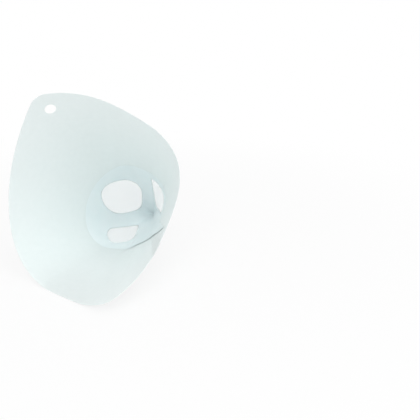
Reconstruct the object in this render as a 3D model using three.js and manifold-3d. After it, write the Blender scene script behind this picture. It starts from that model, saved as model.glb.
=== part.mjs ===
// A cone paint strainer, opened and lying on its side.
// One sheet of paper is rolled into a cone and glued to itself, and a fine mesh lines its windows.
import * as THREE from 'three';
import Module from 'manifold-3d';

const wasm = await Module();
wasm.setup();

// Sizes are in millimetres and angles in degrees.

// The paper as it folds flat: two equal panels that share the tip.
const foldEdge = 188; // from the tip to the corner, along either fold
const panelAngle = 74.8; // between the two folds
const topBulge = 6.9; // how far the top edge bows past a straight line between the corners
const cornerRadius = 12.7;
const paperThickness = 0.3;

// The lap where the sheet is glued to itself, on the outside.
const lapAngle = -61.3;
const lapWidth = 10;
const lapFromTip = 16;

// The hole that it hangs by, in the first corner.
const holeDiameter = 8;
const holeFromCorner = 16.2;
const holeAside = -0.9;

// The windows: each is a kite with its corners rounded, drawn on the flat sheet.
// near, wide and far are distances from the tip along the kite's middle line, which lies
// at angle from the first fold, and left and right are its two half widths.
const windows = [
  { angle: 12.9, near: 18, wide: 53, far: 83, left: 18.4, right: 28.8, nearRound: 11.5, farRound: 20.7 },
  { angle: -35.9, near: 23.4, wide: 76.4, far: 75.6, left: 13.8, right: 21.8, nearRound: 9.1, farRound: 4 },
  { angle: 55.6, near: 29.2, wide: 65.2, far: 78, left: 13.3, right: 16.2, nearRound: 8.6, farRound: 10.5 },
];

// The mesh lining, glued inside the paper round the windows.
const meshThickness = 0.2;
const glueGap = 0.3; // between the paper and the mesh
const meshBorder = 3; // past the farthest corner of a window
const meshCorner = 26; // how much farther the mesh reaches at the lap
const meshCornerSpread = 14.5;
const lipWidth = 7; // the strip along the mesh's edge that has come unglued by the second fold
const lipLift = 1.6;
const lipSpread = 13;

// The shape that the opened cone takes: waves round its axis, and the two folds.
const outOfRound = [
  { turns: 2, cos: -0.94, sin: -1.45 },
  { turns: 3, cos: 0.26, sin: 0.04 },
  { turns: 4, cos: 0.54, sin: 0.05 },
  { turns: 5, cos: -0.01, sin: -0.275 },
  { turns: 6, cos: -0.05, sin: -0.1 },
];
const foldDip = 0.62;
const foldSpread = 20;

// How it lies: the paper is flat where it rests.
const restAngle = 60.2;
const restHalfAngle = 6;
const turnedAside = 16.7; // the mouth's turn away from straight ahead

// How finely curves are drawn.
const stationStep = 1.5;
const cornerStep = 0.5;
const curveSamples = 720;
const outlineStep = 2.5;
const roundSteps = 8;

const radians = THREE.MathUtils.degToRad;
const wholeSheet = 2 * radians(panelAngle);
const axis = new THREE.Vector3(0, 0, 1);

// The direction curve: a ray from the tip for each turn round the axis.
function rayTilt(turn, halfAngle) {
  let tilt = halfAngle;
  for (const wave of outOfRound) {
    tilt += radians(wave.cos) * Math.cos(wave.turns * turn);
    tilt += radians(wave.sin) * Math.sin(wave.turns * turn);
  }
  for (const away of [Math.abs(turn), Math.PI - Math.abs(turn)]) {
    tilt -= radians(foldDip) * Math.exp(-away / radians(foldSpread));
  }
  return tilt;
}

function rays(halfAngle) {
  const list = [];
  for (let i = 0; i <= curveSamples; i++) {
    const turn = -Math.PI + (2 * Math.PI * i) / curveSamples;
    const tilt = rayTilt(turn, halfAngle);
    const x = Math.sin(tilt) * Math.cos(turn);
    const y = Math.sin(tilt) * Math.sin(turn);
    list.push(new THREE.Vector3(x, y, Math.cos(tilt)));
  }
  return list;
}

// The flat sheet's angle that is used up along the rays, counted from the first fold.
function sheetAngles(list) {
  const angles = [0];
  for (let i = 1; i < list.length; i++) {
    angles.push(angles[i - 1] + list[i].angleTo(list[i - 1]));
  }
  const atFirstFold = angles[curveSamples / 2];
  return angles.map((angle) => angle - atFirstFold);
}

// The cone's half angle is the one that uses up the whole sheet.
function findHalfAngle() {
  let low = 0;
  let high = Math.PI / 2;
  while (high - low > 1e-9) {
    const middle = (low + high) / 2;
    const angles = sheetAngles(rays(middle));
    if (angles[curveSamples] - angles[0] < wholeSheet) {
      low = middle;
    } else {
      high = middle;
    }
  }
  return low;
}

const coneHalfAngle = findHalfAngle();
const rayList = rays(coneHalfAngle);
const rayAngles = sheetAngles(rayList);

function roundRay(sheetAngle) {
  const start = rayAngles[0];
  const angle = start + THREE.MathUtils.euclideanModulo(sheetAngle - start, wholeSheet);
  let after = rayAngles.findIndex((value) => value > angle);
  if (after < 1) {
    after = after < 0 ? curveSamples : 1;
  }
  const share = (angle - rayAngles[after - 1]) / (rayAngles[after] - rayAngles[after - 1]);
  return rayList[after - 1].clone().lerp(rayList[after], share).normalize();
}

const restStart = radians(restAngle - restHalfAngle);
const restEnd = radians(restAngle + restHalfAngle);

// The ray at an angle of the flat sheet, with the resting strip pressed flat.
function ray(sheetAngle) {
  const intoStrip = THREE.MathUtils.euclideanModulo(sheetAngle - restStart, wholeSheet);
  const share = intoStrip / (restEnd - restStart);
  if (share >= 1) {
    return roundRay(sheetAngle);
  }
  return roundRay(restStart).lerp(roundRay(restEnd), share).normalize();
}

// The direction square to the paper that points into the cone.
function inward(sheetAngle) {
  const step = radians(cornerStep);
  return ray(sheetAngle - step).cross(ray(sheetAngle + step)).normalize();
}

// The distance from the tip to the top edge: one arc on each panel, rounded at the corners.
function edgeSlant(sheetAngle) {
  const halfPanel = radians(panelAngle) / 2;
  const cornerAcross = foldEdge * Math.sin(halfPanel);
  const cornerAlong = foldEdge * Math.cos(halfPanel);
  const arcRadius = (cornerAcross ** 2 + topBulge ** 2) / (2 * topBulge);
  const arcCentre = cornerAlong + topBulge - arcRadius;
  const fromFold = THREE.MathUtils.euclideanModulo(sheetAngle + halfPanel, 2 * halfPanel) - halfPanel;
  const fromMiddle = halfPanel - Math.abs(fromFold);
  const arcReach = arcCentre * Math.cos(fromMiddle)
    + Math.sqrt(arcRadius ** 2 - (arcCentre * Math.sin(fromMiddle)) ** 2);
  const cornerHalf = Math.PI / 2 - halfPanel + Math.asin(cornerAcross / arcRadius);
  const roundCentre = foldEdge - cornerRadius / Math.sin(cornerHalf);
  const tangentAlong = roundCentre + cornerRadius * Math.sin(cornerHalf);
  const tangentAngle = Math.atan2(cornerRadius * Math.cos(cornerHalf), tangentAlong);
  if (Math.abs(fromFold) >= tangentAngle) {
    return arcReach;
  }
  return roundCentre * Math.cos(fromFold)
    + Math.sqrt(cornerRadius ** 2 - (roundCentre * Math.sin(fromFold)) ** 2);
}

// The sheet angles where the paper bends: even steps, finer at the corners, none in the strip.
function stationAngles() {
  const stripMiddle = (restStart + restEnd) / 2;
  const stripHalf = (restEnd - restStart) / 2;
  const coarse = Math.round(wholeSheet / radians(stationStep));
  const fine = Math.round(radians(stationStep) * 3 / radians(cornerStep));
  const list = [restStart, restEnd];
  for (let i = 0; i < coarse; i++) {
    list.push(-wholeSheet / 2 + (wholeSheet * i) / coarse);
  }
  for (let i = -fine; i <= fine; i++) {
    list.push(i * radians(cornerStep), wholeSheet / 2 - Math.abs(i) * radians(cornerStep));
    list.push(-wholeSheet / 2 + Math.abs(i) * radians(cornerStep));
  }
  const apart = radians(cornerStep) * 0.45;
  const clear = list.filter((angle, index) => index < 2 || Math.abs(angle - stripMiddle) > stripHalf + apart);
  clear.sort((a, b) => a - b);
  return clear.filter((angle, index) => {
    const next = index + 1 < clear.length ? clear[index + 1] : clear[0] + wholeSheet;
    const isStripEdge = angle === restStart || angle === restEnd;
    return isStripEdge || next - angle > apart;
  });
}

const stations = stationAngles();

function toSolid(positions, triangles) {
  const vertProperties = new Float32Array(positions.flatMap((point) => point.toArray()));
  const triVerts = new Uint32Array(triangles.flat());
  const mesh = new wasm.Mesh({ numProp: 3, vertProperties, triVerts });
  mesh.merge();
  return new wasm.Manifold(mesh);
}

// A thin cone between two depths below the paper's outer face.
// Each ring gives a distance from the tip and a further depth, as functions of the sheet angle.
function coneShell(outerDepth, innerDepth, rings) {
  const positions = [];
  const triangles = [];
  const count = stations.length;
  const skins = [outerDepth, innerDepth].map((depth) => {
    const tip = positions.length;
    positions.push(axis.clone().multiplyScalar(depth / Math.sin(coneHalfAngle)));
    for (const ring of rings) {
      for (const angle of stations) {
        const point = ray(angle).multiplyScalar(ring.slant(angle));
        positions.push(point.addScaledVector(inward(angle), depth + ring.lift(angle)));
      }
    }
    return tip;
  });
  const at = (skin, ring, station) => skins[skin] + 1 + ring * count + (station % count);
  for (let i = 0; i < count; i++) {
    triangles.push([skins[0], at(0, 0, i + 1), at(0, 0, i)]);
    triangles.push([skins[1], at(1, 0, i), at(1, 0, i + 1)]);
    for (let ring = 0; ring + 1 < rings.length; ring++) {
      triangles.push([at(0, ring, i), at(0, ring, i + 1), at(0, ring + 1, i + 1)]);
      triangles.push([at(0, ring, i), at(0, ring + 1, i + 1), at(0, ring + 1, i)]);
      triangles.push([at(1, ring, i), at(1, ring + 1, i + 1), at(1, ring, i + 1)]);
      triangles.push([at(1, ring, i), at(1, ring + 1, i), at(1, ring + 1, i + 1)]);
    }
    const last = rings.length - 1;
    triangles.push([at(0, last, i), at(0, last, i + 1), at(1, last, i + 1)]);
    triangles.push([at(0, last, i), at(1, last, i + 1), at(1, last, i)]);
  }
  return toSolid(positions, triangles);
}

// The points of a closed shape on the flat sheet, close enough together to bend with it.
function outlinePoints(shape) {
  const corners = shape.getPoints(roundSteps);
  const points = [];
  corners.forEach((corner, index) => {
    const next = corners[(index + 1) % corners.length];
    const pieces = Math.max(1, Math.ceil(corner.distanceTo(next) / outlineStep));
    if (corner.distanceTo(next) > 1e-6) {
      for (let i = 0; i < pieces; i++) {
        points.push(corner.clone().lerp(next, i / pieces));
      }
    }
  });
  return THREE.ShapeUtils.isClockWise(points) ? points.reverse() : points;
}

// A plug through the wall with a rounded outline: x runs along the sheet's line at angle, y across.
function wallPlug(shape, angle) {
  const innerShare = 0.5;
  const outerShare = 4;
  const outline = outlinePoints(shape);
  const count = outline.length;
  const centre = new THREE.Vector2();
  outline.forEach((point) => centre.addScaledVector(point, 1 / count));
  const onWall = [...outline, centre].map((point) => {
    const aside = Math.atan2(point.y, point.x);
    return ray(angle + aside).multiplyScalar(point.length());
  });
  const skin = (share) => onWall.map((point) => new THREE.Vector3(point.x * share, point.y * share, point.z));
  const positions = [...skin(innerShare), ...skin(outerShare)];
  const outer = count + 1;
  const triangles = [];
  for (let i = 0; i < count; i++) {
    const next = (i + 1) % count;
    triangles.push([count, i, next], [outer + count, outer + next, outer + i]);
    triangles.push([i, outer + i, outer + next], [i, outer + next, next]);
  }
  return toSolid(positions, triangles);
}

// Where a corner's rounding ends on the side that runs to the next corner.
function roundingEnd(corner, next, round) {
  const reach = Math.min(round, corner.distanceTo(next) * 0.49);
  return corner.clone().add(next.clone().sub(corner).setLength(reach));
}

function kite({ near, wide, far, left, right, nearRound, farRound }) {
  const corners = [
    { point: new THREE.Vector2(near, 0), round: nearRound },
    { point: new THREE.Vector2(wide, left), round: farRound },
    { point: new THREE.Vector2(far, 0), round: farRound },
    { point: new THREE.Vector2(wide, -right), round: farRound },
  ];
  const shape = new THREE.Shape();
  corners.forEach(({ point, round }, index) => {
    const before = corners[(index + 3) % 4].point;
    const after = corners[(index + 1) % 4].point;
    const start = roundingEnd(point, before, round);
    const end = roundingEnd(point, after, round);
    if (index === 0) {
      shape.moveTo(start.x, start.y);
    } else {
      shape.lineTo(start.x, start.y);
    }
    shape.quadraticCurveTo(point.x, point.y, end.x, end.y);
  });
  shape.closePath();
  return shape;
}

function hangingHole() {
  const shape = new THREE.Shape();
  shape.absarc(foldEdge - holeFromCorner, holeAside, holeDiameter / 2, 0, 2 * Math.PI);
  return wallPlug(shape, 0);
}

// The second layer of the lap, sunk halfway into the wall under it.
function lap() {
  const shape = new THREE.Shape();
  shape.moveTo(lapFromTip, -lapWidth / 2);
  shape.lineTo(foldEdge + lapWidth, -lapWidth / 2);
  shape.lineTo(foldEdge + lapWidth, lapWidth / 2);
  shape.lineTo(lapFromTip, lapWidth / 2);
  shape.closePath();
  const flatRing = { slant: edgeSlant, lift: () => 0 };
  const layer = coneShell(-paperThickness, paperThickness / 2, [flatRing]);
  return layer.intersect(wallPlug(shape, radians(lapAngle)));
}

function paperCone() {
  let paper = coneShell(0, paperThickness, [{ slant: edgeSlant, lift: () => 0 }]);
  paper = paper.add(lap());
  for (const window of windows) {
    paper = paper.subtract(wallPlug(kite(window), radians(window.angle)));
  }
  return paper.subtract(hangingHole());
}

function sheetDistance(sheetAngle, place) {
  const away = THREE.MathUtils.euclideanModulo(sheetAngle - place, wholeSheet);
  return Math.min(away, wholeSheet - away);
}

// The mesh's edge: an even border past the windows, and a corner at the lap.
function meshSlant(sheetAngle) {
  const farthest = Math.max(...windows.map((window) => window.far));
  const away = sheetDistance(sheetAngle, radians(lapAngle)) / radians(meshCornerSpread);
  return farthest + meshBorder + meshCorner * Math.max(0, 1 - away) ** 2;
}

// How far the mesh's edge stands off the paper: most by the second fold.
function meshLift(sheetAngle) {
  const away = sheetDistance(sheetAngle, wholeSheet / 2) / radians(lipSpread);
  return away < 1 ? lipLift * Math.cos((away * Math.PI) / 2) ** 2 : 0;
}

function filterMesh() {
  const top = paperThickness + glueGap;
  const glued = { slant: (angle) => meshSlant(angle) - lipWidth, lift: () => 0 };
  const edge = { slant: meshSlant, lift: meshLift };
  return coneShell(top, top + meshThickness, [glued, edge]);
}

function toMesh(name, solid, material) {
  const { numProp, vertProperties, triVerts } = solid.getMesh();
  const geometry = new THREE.BufferGeometry();
  const positions = new Float32Array((vertProperties.length / numProp) * 3);
  for (let i = 0; i < vertProperties.length / numProp; i++) {
    positions.set(vertProperties.subarray(i * numProp, i * numProp + 3), i * 3);
  }
  geometry.setAttribute('position', new THREE.BufferAttribute(positions, 3));
  geometry.setIndex(new THREE.BufferAttribute(new Uint32Array(triVerts), 1));
  geometry.computeVertexNormals();
  const mesh = new THREE.Mesh(geometry, material);
  mesh.name = name;
  return mesh;
}

// The cone laid on its flat strip: the strip faces down, and the mouth faces ahead and up.
function layDown(meshes) {
  const ahead = ray((restStart + restEnd) / 2).negate();
  const up = roundRay(restStart).cross(roundRay(restEnd)).normalize();
  const side = ahead.clone().cross(up);
  const upright = new THREE.Matrix4().makeBasis(side, ahead, up).invert();
  const lying = new THREE.Group();
  lying.add(...meshes);
  lying.quaternion.setFromRotationMatrix(upright);
  lying.quaternion.premultiply(new THREE.Quaternion().setFromAxisAngle(axis, -radians(turnedAside)));
  const box = new THREE.Box3().setFromObject(lying, true);
  const middle = box.getCenter(new THREE.Vector3());
  lying.position.set(-middle.x, -middle.y, -box.min.z);
  return lying;
}

const paper = new THREE.MeshStandardMaterial({ color: 0xecf3f2, roughness: 0.85, metalness: 0 });
const nylon = new THREE.MeshStandardMaterial({ color: 0xe3edee, roughness: 0.6, metalness: 0 });

const strainer = new THREE.Group();
strainer.add(
  layDown([
    toMesh('paper_cone', paperCone(), paper),
    toMesh('filter_mesh', filterMesh(), nylon),
  ]),
);

export default strainer;
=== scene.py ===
"""A paper cone paint strainer, opened and lying on its side, dressed around its fixed frame.

The paper is drawn flat and given its thickness, its windows and its hanging hole are cut out,
and then it is rolled into the cone. The mesh is cut and rolled the same way, inside the paper.
"""
import math

import bpy
import numpy as np
from mathutils import Matrix, Vector


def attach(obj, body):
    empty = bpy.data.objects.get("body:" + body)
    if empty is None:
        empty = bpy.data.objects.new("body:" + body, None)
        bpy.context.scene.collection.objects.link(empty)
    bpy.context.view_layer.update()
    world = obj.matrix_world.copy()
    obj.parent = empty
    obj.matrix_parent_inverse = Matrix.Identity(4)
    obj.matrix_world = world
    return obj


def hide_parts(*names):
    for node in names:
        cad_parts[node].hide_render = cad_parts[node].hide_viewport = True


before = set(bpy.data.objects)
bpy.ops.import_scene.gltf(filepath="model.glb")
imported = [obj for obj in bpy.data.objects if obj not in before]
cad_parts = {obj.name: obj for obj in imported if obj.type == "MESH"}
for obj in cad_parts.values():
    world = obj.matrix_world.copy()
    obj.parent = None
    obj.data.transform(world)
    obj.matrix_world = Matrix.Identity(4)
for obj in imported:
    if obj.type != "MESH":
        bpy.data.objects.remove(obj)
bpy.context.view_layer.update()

MM = 0.001
BODY = "root"

# The flat sheet, in millimetres and degrees
FOLD_EDGE = 188.0
PANEL_ANGLE = 74.8
TOP_BULGE = 6.9
CORNER_RADIUS = 12.7
PAPER_THICKNESS = 0.3
CREASE_HEIGHT = 0.16
CREASE_WIDTH = 0.9
LIFT_FULL = 16
LAP_ANGLE = -61.3
LAP_WIDTH = 10.0
LAP_FROM_TIP = 16.0
LAP_GAP = 0.02
LAP_CLIMB = 3.5
HOLE_DIAMETER = 8.0
HOLE_FROM_CORNER = 16.2
HOLE_ASIDE = -0.9
WINDOWS = [
    dict(angle=12.9, near=18, wide=53, far=83, left=18.4, right=28.8, near_round=11.5, far_round=20.7),
    dict(angle=-35.9, near=23.4, wide=76.4, far=75.6, left=13.8, right=21.8, near_round=9.1, far_round=4),
    dict(angle=55.6, near=29.2, wide=65.2, far=78, left=13.3, right=16.2, near_round=8.6, far_round=10.5),
]

# The mesh lining
MESH_THICKNESS = 0.03
MESH_GLUE = 0.05
MESH_OVERLAP = 0.14
MESH_BORDER = 3.0
MESH_CORNER = 26.0
MESH_CORNER_SPREAD = 14.5
TAIL_ANGLE = 5.0
TAIL_RISE = 420.0
TAIL_FROM, TAIL_FULL = 70, 112
LIP_WIDTH = 7.0
LIP_LIFT = 0.5
LIP_SPREAD = 13.0
THREAD_PITCH = 0.36
THREAD_SHARE = 0.36
OPEN_MARGIN = 0.5

# A soft bend beside the first fold, from the top edge down towards the windows
BEND_ANGLE = -28.2
BEND_HEIGHT = 0.3
BEND_SPREAD = 7.0
BEND_FROM, BEND_FULL = 84, 112

# The opened cone's shape and how it lies
OUT_OF_ROUND = [(2, -0.94, -1.45), (3, 0.26, 0.04), (4, 0.54, 0.05), (5, -0.01, -0.275), (6, -0.05, -0.1)]
FOLD_DIP = 0.62
FOLD_SPREAD = 20.0
REST_ANGLE = 60.2
REST_HALF_ANGLE = 6.0
TURNED_ASIDE = 16.7
TIP = Vector((28.8894, 92.7139, 0.0))

# The camera, from the tip, and its lens
CAMERA_FROM_TIP = Vector((55.285, -468.644, 177.575))
CAMERA_LOOKS = Vector((0.00107, 0.93747, -0.34807))
CAMERA_UP = Vector((0.00871, 0.34805, 0.93744))
LENS_MM = 43.3437
SENSOR_MM = 36.0

CURVE_SAMPLES = 1440
EASE_SAMPLES = 3600
EASE_ANGLE = 1.3
WHOLE_SHEET = 2 * math.radians(PANEL_ANGLE)
FIRST_RING = 2.0
PUNCH_DEPTH = 10
CORNER_STEPS = 12
SMOOTH_DEGREES = 40
FLOOR_GLOW = 0.8
FLOOR_DROP = 0.0002
WORLD_LIGHT = 0.66


def ray_curve(half_angle):
    """Unit rays from the tip, one for each turn round the axis."""
    turn = np.linspace(-math.pi, math.pi, CURVE_SAMPLES + 1)
    tilt = np.full_like(turn, half_angle)
    for turns, cosine, sine in OUT_OF_ROUND:
        tilt += math.radians(cosine) * np.cos(turns * turn) + math.radians(sine) * np.sin(turns * turn)
    for away in (np.abs(turn), math.pi - np.abs(turn)):
        tilt -= math.radians(FOLD_DIP) * np.exp(-away / math.radians(FOLD_SPREAD))
    return np.stack([np.sin(tilt) * np.cos(turn), np.sin(tilt) * np.sin(turn), np.cos(tilt)], 1)


def used_angle(rays):
    """The flat sheet's angle used up along the rays, counted from the first fold."""
    steps = np.arccos(np.clip((rays[1:] * rays[:-1]).sum(1), -1, 1))
    angles = np.concatenate([[0], np.cumsum(steps)])
    return angles - angles[CURVE_SAMPLES // 2]


def solve_half_angle():
    low, high = 0.0, math.pi / 2
    while high - low > 1e-9:
        middle = (low + high) / 2
        angles = used_angle(ray_curve(middle))
        if angles[-1] - angles[0] < WHOLE_SHEET:
            low = middle
        else:
            high = middle
    return low


CONE_HALF_ANGLE = solve_half_angle()
RAYS = ray_curve(CONE_HALF_ANGLE)
RAY_ANGLES = used_angle(RAYS)
REST_START = math.radians(REST_ANGLE - REST_HALF_ANGLE)
REST_END = math.radians(REST_ANGLE + REST_HALF_ANGLE)


def unit(vectors):
    return vectors / np.linalg.norm(vectors, axis=-1, keepdims=True)


def round_ray(angle):
    start = RAY_ANGLES[0]
    wrapped = start + np.mod(np.asarray(angle, float) - start, WHOLE_SHEET)
    return unit(np.stack([np.interp(wrapped, RAY_ANGLES, RAYS[:, i]) for i in range(3)], -1))


def pressed_ray(angle):
    """The ray at an angle of the flat sheet, with the resting strip pressed flat."""
    share = np.mod(angle - REST_START, WHOLE_SHEET) / (REST_END - REST_START)
    pressed = np.clip(share, 0, 1)[..., None]
    flat = unit(round_ray(REST_START) * (1 - pressed) + round_ray(REST_END) * pressed)
    return np.where((share < 1)[..., None], flat, round_ray(angle))


def softened_rays():
    """The pressed rays all the way round, with the strip's edges and the folds eased."""
    angles = np.linspace(0, WHOLE_SHEET, EASE_SAMPLES, endpoint=False)
    rays = pressed_ray(angles)
    step = WHOLE_SHEET / EASE_SAMPLES
    reach = int(3 * math.radians(EASE_ANGLE) / step)
    eased = np.zeros_like(rays)
    for offset in range(-reach, reach + 1):
        weight = math.exp(-0.5 * (offset * step / math.radians(EASE_ANGLE)) ** 2)
        eased += weight * np.roll(rays, offset, axis=0)
    return angles, unit(eased)


EASED_ANGLES, EASED_RAYS = softened_rays()


def ray(angle):
    """The ray at an angle of the flat sheet, as the paper really lies."""
    wrapped = np.mod(np.asarray(angle, float), WHOLE_SHEET)
    parts = [np.interp(wrapped, EASED_ANGLES, EASED_RAYS[:, i], period=WHOLE_SHEET) for i in range(3)]
    return unit(np.stack(parts, -1))


def inward(angle):
    """The direction square to the paper that points into the cone."""
    step = math.radians(0.6)
    return unit(np.cross(ray(angle - step), ray(angle + step)))


def laying_turn():
    """The turn that lays the cone on its flat strip, mouth ahead and turned aside."""
    start, end = round_ray(REST_START), round_ray(REST_END)
    ahead = -unit(start + end)
    up = unit(np.cross(start, end))
    side = np.cross(ahead, up)
    aside = math.radians(TURNED_ASIDE)
    turn = np.array([
        [math.cos(aside), math.sin(aside), 0],
        [-math.sin(aside), math.cos(aside), 0],
        [0, 0, 1],
    ])
    return turn @ np.stack([side, ahead, up])


LAYING_TURN = laying_turn()


def edge_slant(angle):
    """The distance from the tip to the top edge: one arc on each panel, rounded at the corners."""
    half_panel = math.radians(PANEL_ANGLE) / 2
    across = FOLD_EDGE * math.sin(half_panel)
    along = FOLD_EDGE * math.cos(half_panel)
    arc_radius = (across ** 2 + TOP_BULGE ** 2) / (2 * TOP_BULGE)
    arc_centre = along + TOP_BULGE - arc_radius
    from_fold = np.mod(angle + half_panel, 2 * half_panel) - half_panel
    from_middle = half_panel - np.abs(from_fold)
    arc_height = np.sqrt(arc_radius ** 2 - (arc_centre * np.sin(from_middle)) ** 2)
    arc = arc_centre * np.cos(from_middle) + arc_height
    corner_half = math.pi / 2 - half_panel + math.asin(across / arc_radius)
    round_centre = FOLD_EDGE - CORNER_RADIUS / math.sin(corner_half)
    tangent_along = round_centre + CORNER_RADIUS * math.sin(corner_half)
    tangent = math.atan2(CORNER_RADIUS * math.cos(corner_half), tangent_along)
    inside = np.clip(CORNER_RADIUS ** 2 - (round_centre * np.sin(from_fold)) ** 2, 0, None)
    corner = round_centre * np.cos(from_fold) + np.sqrt(inside)
    return np.where(np.abs(from_fold) >= tangent, arc, corner)


def smooth_step(low, high, value):
    share = np.clip((value - low) / (high - low), 0, 1)
    return share * share * (3 - 2 * share)


def lap_spread(slant):
    """The angle from the lap's middle line to either edge of it."""
    return np.arcsin(LAP_WIDTH / 2 / np.maximum(slant, LAP_FROM_TIP))


def select_none():
    if bpy.context.object and bpy.context.object.mode != "OBJECT":
        bpy.ops.object.mode_set(mode="OBJECT")
    bpy.ops.object.select_all(action="DESELECT")


def make_active(piece):
    select_none()
    piece.select_set(True)
    bpy.context.view_layer.objects.active = piece


def read_points(piece):
    points = np.empty(len(piece.data.vertices) * 3)
    piece.data.vertices.foreach_get("co", points)
    return points.reshape(-1, 3)


def write_points(piece, points):
    piece.data.vertices.foreach_set("co", np.ascontiguousarray(points, float).ravel())
    piece.data.update()


def apply_modifier(piece, name):
    make_active(piece)
    bpy.ops.object.modifier_apply(modifier=name)


def flat_grid(name, columns, rows):
    """A fine grid that will be drawn out into the flat sheet: x counts round it, y from the tip."""
    select_none()
    bpy.ops.mesh.primitive_grid_add(x_subdivisions=columns, y_subdivisions=rows, size=1, location=(0, 0, 0))
    piece = bpy.context.object
    piece.name = name
    piece.data.name = name
    return piece


def draw_flat(piece, first_angle, last_angle, far_edge):
    """Moves the grid's points to their places on the flat sheet, in millimetres."""
    grid = read_points(piece) + 0.5
    reach = FIRST_RING + grid[:, 1] * (FOLD_EDGE - FIRST_RING)
    for _ in range(4):
        low, high = first_angle(reach), last_angle(reach)
        angle = low + grid[:, 0] * (high - low)
        reach = FIRST_RING + grid[:, 1] * (far_edge(angle) - FIRST_RING)
    write_points(piece, np.stack([reach * np.cos(angle), reach * np.sin(angle), np.zeros_like(reach)], 1))


def close_tip(piece):
    """Draws the ring nearest the tip together into one point."""
    make_active(piece)
    points = read_points(piece)
    near = np.hypot(points[:, 0], points[:, 1]) < FIRST_RING + 0.01
    bpy.ops.object.mode_set(mode="EDIT")
    bpy.ops.mesh.select_mode(type="VERT")
    bpy.ops.mesh.select_all(action="DESELECT")
    bpy.ops.object.mode_set(mode="OBJECT")
    piece.data.vertices.foreach_set("select", near)
    bpy.ops.object.mode_set(mode="EDIT")
    bpy.ops.mesh.extrude_region_move()
    bpy.ops.mesh.merge(type="CENTER")
    bpy.ops.object.mode_set(mode="OBJECT")
    points = read_points(piece)
    tip = int(np.argmin(np.hypot(points[:, 0], points[:, 1])))
    points[tip] = (1e-4 * math.cos(0.2), 1e-4 * math.sin(0.2), 0)
    write_points(piece, points)


def window_corners(window, margin):
    """The kite's corners and their roundings, moved out by a margin."""
    return [
        (window["near"] - margin, 0.0, window["near_round"]),
        (window["wide"], window["left"] + margin, window["far_round"]),
        (window["far"] + margin, 0.0, window["far_round"]),
        (window["wide"], -window["right"] - margin, window["far_round"]),
    ]


def window_cutter(window):
    """A punch for one window: a kite with rounded corners, standing through the flat sheet."""
    select_none()
    bpy.ops.mesh.primitive_circle_add(vertices=4, radius=1, fill_type="NGON", location=(0, 0, 0))
    punch = bpy.context.object
    outline = rounded_outline(window_corners(window, 0))
    make_active(punch)
    bpy.ops.object.mode_set(mode="EDIT")
    bpy.ops.mesh.select_all(action="SELECT")
    bpy.ops.mesh.delete(type="ONLY_FACE")
    bpy.ops.mesh.select_all(action="SELECT")
    bpy.ops.mesh.subdivide(number_cuts=len(outline) // 4 - 1)
    bpy.ops.mesh.select_all(action="SELECT")
    bpy.ops.mesh.edge_face_add()
    bpy.ops.object.mode_set(mode="OBJECT")
    order = list(punch.data.polygons[0].vertices)
    points = np.zeros((len(order), 3))
    turn = math.radians(window["angle"])
    for index, (x, y) in zip(order, outline):
        along = x * math.cos(turn) - y * math.sin(turn)
        aside = x * math.sin(turn) + y * math.cos(turn)
        points[index] = (along, aside, -PUNCH_DEPTH / 2)
    write_points(punch, points)
    return raise_punch(punch)


def rounded_outline(corners):
    """The outline of a polygon whose corners are rounded off, as evenly many points for each corner."""
    count = len(corners)
    outline = []
    for i, (x, y, rounding) in enumerate(corners):
        corner = np.array([x, y])
        ends = []
        for other in (corners[i - 1], corners[(i + 1) % count]):
            side = np.array(other[:2]) - corner
            length = np.linalg.norm(side)
            ends.append(corner + side / length * min(rounding, length * 0.49))
        for share in np.linspace(0, 1, CORNER_STEPS):
            point = (1 - share) ** 2 * ends[0] + 2 * share * (1 - share) * corner + share ** 2 * ends[1]
            outline.append((float(point[0]), float(point[1])))
    return outline


def raise_punch(punch):
    make_active(punch)
    bpy.ops.object.mode_set(mode="EDIT")
    bpy.ops.mesh.select_all(action="SELECT")
    bpy.ops.mesh.extrude_region_move(TRANSFORM_OT_translate={"value": (0, 0, PUNCH_DEPTH)})
    bpy.ops.mesh.select_all(action="SELECT")
    bpy.ops.mesh.normals_make_consistent(inside=False)
    bpy.ops.object.mode_set(mode="OBJECT")
    return punch


def hole_cutter():
    select_none()
    place = (FOLD_EDGE - HOLE_FROM_CORNER, HOLE_ASIDE, 0)
    bpy.ops.mesh.primitive_cylinder_add(
        vertices=64, radius=HOLE_DIAMETER / 2, depth=PUNCH_DEPTH, location=place
    )
    punch = bpy.context.object
    make_active(punch)
    bpy.ops.object.transform_apply(location=True, rotation=True, scale=True)
    return punch


def punch_out(piece, punch):
    cut = piece.modifiers.new("cut", "BOOLEAN")
    cut.operation = "DIFFERENCE"
    cut.solver = "EXACT"
    cut.object = punch
    apply_modifier(piece, "cut")
    bpy.data.objects.remove(punch)


def keep_flat_map(piece):
    """The flat sheet's own coordinates, in metres, kept as the piece's UV map before it is rolled."""
    points = read_points(piece)
    uv = piece.data.uv_layers.new(name="FlatSheet") if not piece.data.uv_layers else piece.data.uv_layers[0]
    uv.name = "FlatSheet"
    loops = np.empty(len(piece.data.loops), int)
    piece.data.loops.foreach_get("vertex_index", loops)
    uv.data.foreach_set("uv", (points[loops, :2] * MM).astype(np.float32).ravel())


def roll_up(piece, lift):
    """Rolls the flat sheet into the cone. lift(angle, slant) moves it out from the cone's face."""
    points = read_points(piece)
    slant = np.hypot(points[:, 0], points[:, 1])
    angle = np.arctan2(points[:, 1], points[:, 0])
    angle = np.where(angle < math.radians(LAP_ANGLE) - 0.6, angle + 2 * math.pi, angle)
    outwards = -inward(angle)
    at_tip = slant < FIRST_RING / 2
    outwards[at_tip] = (0, 0, -1 / math.sin(CONE_HALF_ANGLE))
    rolled = ray(angle) * slant[:, None] + outwards * (lift(angle, slant) + points[:, 2])[:, None]
    rolled = rolled @ LAYING_TURN.T
    write_points(piece, (rolled + np.array(TIP)) * MM)
    face_outwards(piece)


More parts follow.
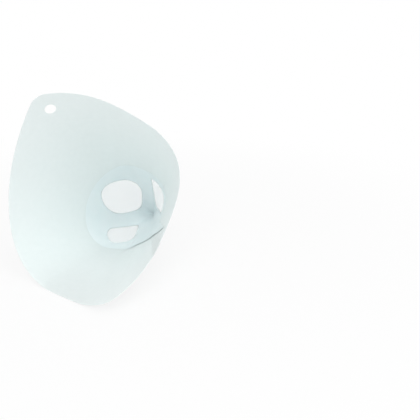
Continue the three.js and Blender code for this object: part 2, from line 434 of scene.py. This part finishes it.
def face_outwards(piece):
    """Turns a closed piece the right way out if its faces point in."""
    piece.data.calc_loop_triangles()
    points = read_points(piece)
    corners = np.empty(len(piece.data.loop_triangles) * 3, int)
    piece.data.loop_triangles.foreach_get("vertices", corners)
    a, b, c = (points[corners.reshape(-1, 3)[:, i]] for i in range(3))
    if (a * np.cross(b, c)).sum() < 0:
        make_active(piece)
        bpy.ops.object.mode_set(mode="EDIT")
        bpy.ops.mesh.select_all(action="SELECT")
        bpy.ops.mesh.flip_normals()
        bpy.ops.object.mode_set(mode="OBJECT")


def thicken(piece, thickness):
    """Gives the flat sheet its thickness, below the face that will be outside."""
    solid = piece.modifiers.new("thickness", "SOLIDIFY")
    solid.thickness = thickness
    solid.offset = 0
    solid.use_even_offset = False
    solid.use_rim = True
    apply_modifier(piece, "thickness")
    points = read_points(piece)
    points[:, 2] -= points[:, 2].max()
    write_points(piece, points)


def tidy_faces(piece):
    make_active(piece)
    bpy.ops.object.mode_set(mode="EDIT")
    bpy.ops.mesh.select_all(action="SELECT")
    bpy.ops.mesh.remove_doubles(threshold=0.002)
    bpy.ops.mesh.select_all(action="SELECT")
    bpy.ops.mesh.quads_convert_to_tris(quad_method="BEAUTY", ngon_method="BEAUTY")
    bpy.ops.object.mode_set(mode="OBJECT")


def smooth(piece, degrees):
    make_active(piece)
    bpy.ops.object.shade_smooth_by_angle(angle=math.radians(degrees))


def paper_lift(angle, slant):
    """The outer layer of the lap climbs over the inner one, and each fold keeps a fine crease."""
    lap_start = math.radians(LAP_ANGLE) + WHOLE_SHEET - lap_spread(slant)
    before = (lap_start - angle) * slant
    lap = (PAPER_THICKNESS + LAP_GAP) * (1 - smooth_step(0.0, LAP_CLIMB, before))
    crease = np.zeros_like(slant)
    for fold in (0.0, math.radians(PANEL_ANGLE)):
        away = (angle - fold) * slant
        crease += CREASE_HEIGHT * np.exp(-(away / CREASE_WIDTH) ** 2)
    beside = np.abs(angle - math.radians(BEND_ANGLE)) * slant
    bend = BEND_HEIGHT * np.exp(-beside / BEND_SPREAD) * smooth_step(BEND_FROM, BEND_FULL, slant)
    return (lap + crease + bend) * smooth_step(FIRST_RING, LIFT_FULL, slant)


def make_paper():
    piece = flat_grid("paper_sheet", 330, 92)
    lap = math.radians(LAP_ANGLE)
    draw_flat(
        piece,
        lambda slant: lap - lap_spread(slant),
        lambda slant: lap + WHOLE_SHEET + lap_spread(slant),
        edge_slant,
    )
    close_tip(piece)
    thicken(piece, PAPER_THICKNESS)
    for window in WINDOWS:
        punch_out(piece, window_cutter(window))
    punch_out(piece, hole_cutter())
    tidy_faces(piece)
    keep_flat_map(piece)
    roll_up(piece, paper_lift)
    smooth(piece, SMOOTH_DEGREES)
    return piece


def sheet_distance(angle, place):
    away = np.mod(angle - place, WHOLE_SHEET)
    return np.minimum(away, WHOLE_SHEET - away)


def mesh_slant(angle):
    """The mesh's edge: an even border past the windows, a corner at the lap, and the loose tail past it."""
    farthest = max(window["far"] for window in WINDOWS)
    lap_end = math.radians(LAP_ANGLE) + WHOLE_SHEET
    away = sheet_distance(angle, lap_end) / math.radians(MESH_CORNER_SPREAD)
    past = np.clip(angle - lap_end, 0, None)
    corner = np.where(past > 0, 1, np.clip(1 - away, 0, None) ** 2)
    return farthest + MESH_BORDER + MESH_CORNER * corner + TAIL_RISE * past


def flat_cut(piece):
    """The flat sheet's size as it is drawn, in metres: its width and length, and its area."""
    points = read_points(piece)
    width, length = (float(np.ptp(points[:, axis])) * MM for axis in (1, 0))
    area = sum(face.area for face in piece.data.polygons) * MM ** 2
    return (width, length), area


def mesh_lift(angle, slant):
    """The mesh lies against the paper's inner face, and its loose edge stands off by the second fold."""
    away = (WHOLE_SHEET / 2 - angle) / math.radians(LIP_SPREAD)
    loose = np.cos(np.clip(away, 0, 1) * math.pi / 2) ** 2
    edge = smooth_step(-LIP_WIDTH, 0, slant - mesh_slant(angle))
    past_lap = (angle - math.radians(LAP_ANGLE) - WHOLE_SHEET) * slant
    overlap = MESH_OVERLAP * smooth_step(-1.5, 1.5, past_lap + 4)
    return -(PAPER_THICKNESS + MESH_GLUE + overlap + LIP_LIFT * loose * edge)


def inside_outline(points, outline):
    """True for each point inside a closed outline on the flat sheet."""
    inside = np.zeros(len(points), bool)
    ends = outline[1:] + outline[:1]
    for (ax, ay), (bx, by) in zip(outline, ends):
        if ay == by:
            continue
        crosses = (ay > points[:, 1]) != (by > points[:, 1])
        at = ax + (points[:, 1] - ay) / (by - ay) * (bx - ax)
        inside ^= crosses & (points[:, 0] < at)
    return inside


def mark_open_mesh(piece):
    """Marks, point by point, where the mesh has a window behind it and lets the view through."""
    points = read_points(piece)[:, :2]
    slant = np.hypot(points[:, 0], points[:, 1])
    angle = np.arctan2(points[:, 1], points[:, 0])
    is_open = np.zeros(len(points), bool)
    for window in WINDOWS:
        turned = angle - math.radians(window["angle"])
        local = np.stack([slant * np.cos(turned), slant * np.sin(turned)], 1)
        is_open |= inside_outline(local, rounded_outline(window_corners(window, OPEN_MARGIN)))
    layer = piece.data.attributes.new("open_share", "FLOAT", "POINT")
    layer.data.foreach_set("value", is_open.astype(np.float32))


def make_mesh():
    piece = flat_grid("mesh_sheet", 260, 70)
    lap = math.radians(LAP_ANGLE)
    tail = math.radians(TAIL_ANGLE)
    draw_flat(
        piece,
        lambda slant: lap + 0 * slant,
        lambda slant: lap + WHOLE_SHEET + tail * smooth_step(TAIL_FROM, TAIL_FULL, slant),
        mesh_slant,
    )
    close_tip(piece)
    size, area = flat_cut(piece)
    thicken(piece, MESH_THICKNESS)
    tidy_faces(piece)
    mark_open_mesh(piece)
    keep_flat_map(piece)
    roll_up(piece, mesh_lift)
    smooth(piece, SMOOTH_DEGREES)
    return piece, size, area


class Nodes:
    """Short hand for one material's node tree."""

    def __init__(self, name):
        self.material = bpy.data.materials.new(name)
        self.material.use_nodes = True
        self.tree = self.material.node_tree
        self.shader = self.tree.nodes["Principled BSDF"]

    def add(self, kind, **settings):
        node = self.tree.nodes.new(kind)
        for key, value in settings.items():
            setattr(node, key, value)
        return node

    def link(self, source, target):
        self.tree.links.new(source, target)

    def math(self, operation, first, second=None, third=None):
        node = self.add("ShaderNodeMath", operation=operation)
        for socket, value in zip(node.inputs, (first, second, third)):
            if value is None:
                continue
            if isinstance(value, (int, float)):
                socket.default_value = value
            else:
                self.link(value, socket)
        return node.outputs[0]

    def noise(self, coordinates, scale, detail=2.0, roughness=0.5):
        node = self.add("ShaderNodeTexNoise")
        node.inputs["Scale"].default_value = scale
        node.inputs["Detail"].default_value = detail
        node.inputs["Roughness"].default_value = roughness
        self.link(coordinates, node.inputs["Vector"])
        return node.outputs["Fac"]

    def ramp(self, value, stops):
        node = self.add("ShaderNodeValToRGB")
        elements = node.color_ramp.elements
        while len(elements) < len(stops):
            elements.new(0.5)
        for element, (place, colour) in zip(elements, stops):
            element.position = place
            element.color = (*colour, 1)
        self.link(value, node.inputs["Fac"])
        return node.outputs["Color"]


def paper_material():
    """White uncoated paper: a faint cloudy formation, fine fibres and a dull face."""
    made = Nodes("white_paper")
    place = made.add("ShaderNodeTexCoord").outputs["Object"]
    cloud = made.noise(place, 260, 4, 0.6)
    wide = made.noise(place, 28, 2, 0.5)
    both = made.math("ADD", made.math("MULTIPLY", cloud, 0.7), made.math("MULTIPLY", wide, 0.3))
    colour = made.ramp(both, [(0.3, (0.80, 0.868, 0.862)), (0.7, (0.828, 0.893, 0.888))])
    made.link(colour, made.shader.inputs["Base Color"])
    fibres = made.noise(place, 1500, 5, 0.65)
    rough = made.math("MULTIPLY_ADD", fibres, 0.12, 0.78)
    made.link(rough, made.shader.inputs["Roughness"])
    bump = made.add("ShaderNodeBump")
    bump.inputs["Strength"].default_value = 0.12
    bump.inputs["Distance"].default_value = 0.0001
    made.link(fibres, bump.inputs["Height"])
    made.link(bump.outputs["Normal"], made.shader.inputs["Normal"])
    made.shader.inputs["Specular IOR Level"].default_value = 0.25
    made.shader.inputs["Subsurface Weight"].default_value = 0.7
    made.shader.inputs["Subsurface Radius"].default_value = (1, 1, 1)
    made.shader.inputs["Subsurface Scale"].default_value = 0.0006
    return made.material


def mesh_material():
    """Fine woven nylon, crossing threads with holes between. Only over the windows is it see-through."""
    made = Nodes("woven_nylon")
    flat = made.add("ShaderNodeUVMap", uv_map="FlatSheet").outputs["UV"]
    split = made.add("ShaderNodeSeparateXYZ")
    made.link(flat, split.inputs["Vector"])
    count = 1 / (THREAD_PITCH * MM)
    threads = []
    for axis in ("X", "Y"):
        along = made.math("MULTIPLY", split.outputs[axis], count)
        middle = made.math("ABSOLUTE", made.math("SUBTRACT", made.math("FRACT", along), 0.5))
        threads.append(made.math("MULTIPLY", middle, 2.0))
    edges = [made.math("DIVIDE", thread, THREAD_SHARE) for thread in threads]
    covers = [made.math("LESS_THAN", edge, 1.0) for edge in edges]
    cover = made.math("MAXIMUM", covers[0], covers[1])
    gaps = made.math("SUBTRACT", 0.97, made.math("MULTIPLY", cover, 0.32))
    open_share = made.add("ShaderNodeAttribute", attribute_name="open_share").outputs["Fac"]
    alpha = made.math("SUBTRACT", 1.0, made.math("MULTIPLY", gaps, open_share))
    made.link(alpha, made.shader.inputs["Alpha"])
    heights = []
    for edge in edges:
        square = made.math("MULTIPLY", edge, edge)
        heights.append(made.math("SQRT", made.math("MAXIMUM", made.math("SUBTRACT", 1.0, square), 0.0)))
    height = made.math("MAXIMUM", heights[0], heights[1])
    bump = made.add("ShaderNodeBump")
    bump.inputs["Strength"].default_value = 0.25
    bump.inputs["Distance"].default_value = 0.00008
    made.link(height, bump.inputs["Height"])
    made.link(bump.outputs["Normal"], made.shader.inputs["Normal"])
    tint = made.noise(flat, 90, 2, 0.5)
    colour = made.ramp(tint, [(0.3, (0.86, 0.94, 0.95)), (0.7, (0.89, 0.955, 0.965))])
    made.link(colour, made.shader.inputs["Base Color"])
    made.shader.inputs["Roughness"].default_value = 0.55
    made.shader.inputs["Specular IOR Level"].default_value = 0.35
    return made.material


def set_material(piece, material):
    piece.data.materials.clear()
    piece.data.materials.append(material)


def make_floor():
    """A pale floor that the eye sees as white further out, and that keeps the shadow under the object."""
    select_none()
    bpy.ops.mesh.primitive_plane_add(size=24, location=(0, 0, -FLOOR_DROP))
    floor = bpy.context.object
    floor.name = "floor"
    material = bpy.data.materials.new("floor_white")
    material.use_nodes = True
    tree = material.node_tree
    shader = tree.nodes["Principled BSDF"]
    shader.inputs["Base Color"].default_value = (0.92, 0.92, 0.92, 1)
    shader.inputs["Roughness"].default_value = 0.9
    shader.inputs["Specular IOR Level"].default_value = 0.1
    glow = tree.nodes.new("ShaderNodeEmission")
    glow.inputs["Color"].default_value = (1, 1, 1, 1)
    glow.inputs["Strength"].default_value = 1
    mix = tree.nodes.new("ShaderNodeMixShader")
    place = tree.nodes.new("ShaderNodeTexCoord")
    away = tree.nodes.new("ShaderNodeVectorMath")
    away.operation = "LENGTH"
    tree.links.new(place.outputs["Object"], away.inputs[0])
    share = tree.nodes.new("ShaderNodeMapRange")
    share.interpolation_type = "SMOOTHSTEP"
    for name, value in (("From Min", 0.1), ("From Max", 0.5), ("To Min", FLOOR_GLOW), ("To Max", 1.0)):
        share.inputs[name].default_value = value
    tree.links.new(away.outputs["Value"], share.inputs["Value"])
    path = tree.nodes.new("ShaderNodeLightPath")
    seen = None
    for ray_kind in ("Is Camera Ray", "Is Glossy Ray", "Is Transmission Ray"):
        if seen is None:
            seen = path.outputs[ray_kind]
            continue
        either = tree.nodes.new("ShaderNodeMath")
        either.operation = "MAXIMUM"
        tree.links.new(seen, either.inputs[0])
        tree.links.new(path.outputs[ray_kind], either.inputs[1])
        seen = either.outputs[0]
    both = tree.nodes.new("ShaderNodeMath")
    both.operation = "MULTIPLY"
    tree.links.new(share.outputs["Result"], both.inputs[0])
    tree.links.new(seen, both.inputs[1])
    tree.links.new(both.outputs[0], mix.inputs["Fac"])
    tree.links.new(shader.outputs[0], mix.inputs[1])
    tree.links.new(glow.outputs[0], mix.inputs[2])
    tree.links.new(mix.outputs[0], tree.nodes["Material Output"].inputs["Surface"])
    floor.data.materials.append(material)
    return floor


def make_light(name, place, target, size, power):
    light = bpy.data.lights.new(name, "AREA")
    light.shape = "DISK"
    light.size = size
    light.energy = power
    lamp = bpy.data.objects.new(name, light)
    bpy.context.scene.collection.objects.link(lamp)
    lamp.location = place
    lamp.rotation_euler = (Vector(target) - Vector(place)).to_track_quat("-Z", "Y").to_euler()
    return lamp


def make_world():
    world = bpy.data.worlds.new("studio")
    world.use_nodes = True
    bpy.context.scene.world = world
    tree = world.node_tree
    tree.nodes.clear()
    output = tree.nodes.new("ShaderNodeOutputWorld")
    mix = tree.nodes.new("ShaderNodeMixShader")
    seen = tree.nodes.new("ShaderNodeBackground")
    light = tree.nodes.new("ShaderNodeBackground")
    path = tree.nodes.new("ShaderNodeLightPath")
    seen.inputs["Color"].default_value = (1, 1, 1, 1)
    light.inputs["Color"].default_value = (1, 1, 1, 1)
    light.inputs["Strength"].default_value = WORLD_LIGHT
    direct = tree.nodes.new("ShaderNodeMath")
    direct.operation = "MAXIMUM"
    tree.links.new(path.outputs["Is Camera Ray"], direct.inputs[0])
    tree.links.new(path.outputs["Is Glossy Ray"], direct.inputs[1])
    tree.links.new(direct.outputs[0], mix.inputs["Fac"])
    tree.links.new(light.outputs[0], mix.inputs[1])
    tree.links.new(seen.outputs[0], mix.inputs[2])
    tree.links.new(mix.outputs[0], output.inputs["Surface"])


def make_camera():
    camera = bpy.data.cameras.new("camera")
    camera.lens = LENS_MM
    camera.sensor_width = SENSOR_MM
    camera.clip_end = 20
    eye = bpy.data.objects.new("camera", camera)
    bpy.context.scene.collection.objects.link(eye)
    back = -CAMERA_LOOKS.normalized()
    right = CAMERA_UP.cross(back).normalized()
    up = back.cross(right)
    turn = Matrix((right, up, back)).transposed().to_4x4()
    eye.matrix_world = Matrix.Translation((TIP + CAMERA_FROM_TIP) * MM) @ turn
    bpy.context.scene.camera = eye
    return eye


make_camera()
make_world()
make_floor()
make_light("high_right", (0.55, -0.5, 1.2), (0, 0, 0.03), 1.0, 4.5)
make_light("front", (-0.1, -1.0, 0.85), (0, 0, 0.04), 0.7, 3.8)

paper = make_paper()
set_material(paper, paper_material())
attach(paper, BODY)
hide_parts("paper_cone")

mesh, mesh_size, mesh_area = make_mesh()
set_material(mesh, mesh_material())
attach(mesh, BODY)
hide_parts("filter_mesh")

bpy.context.scene.view_settings.view_transform = "Standard"
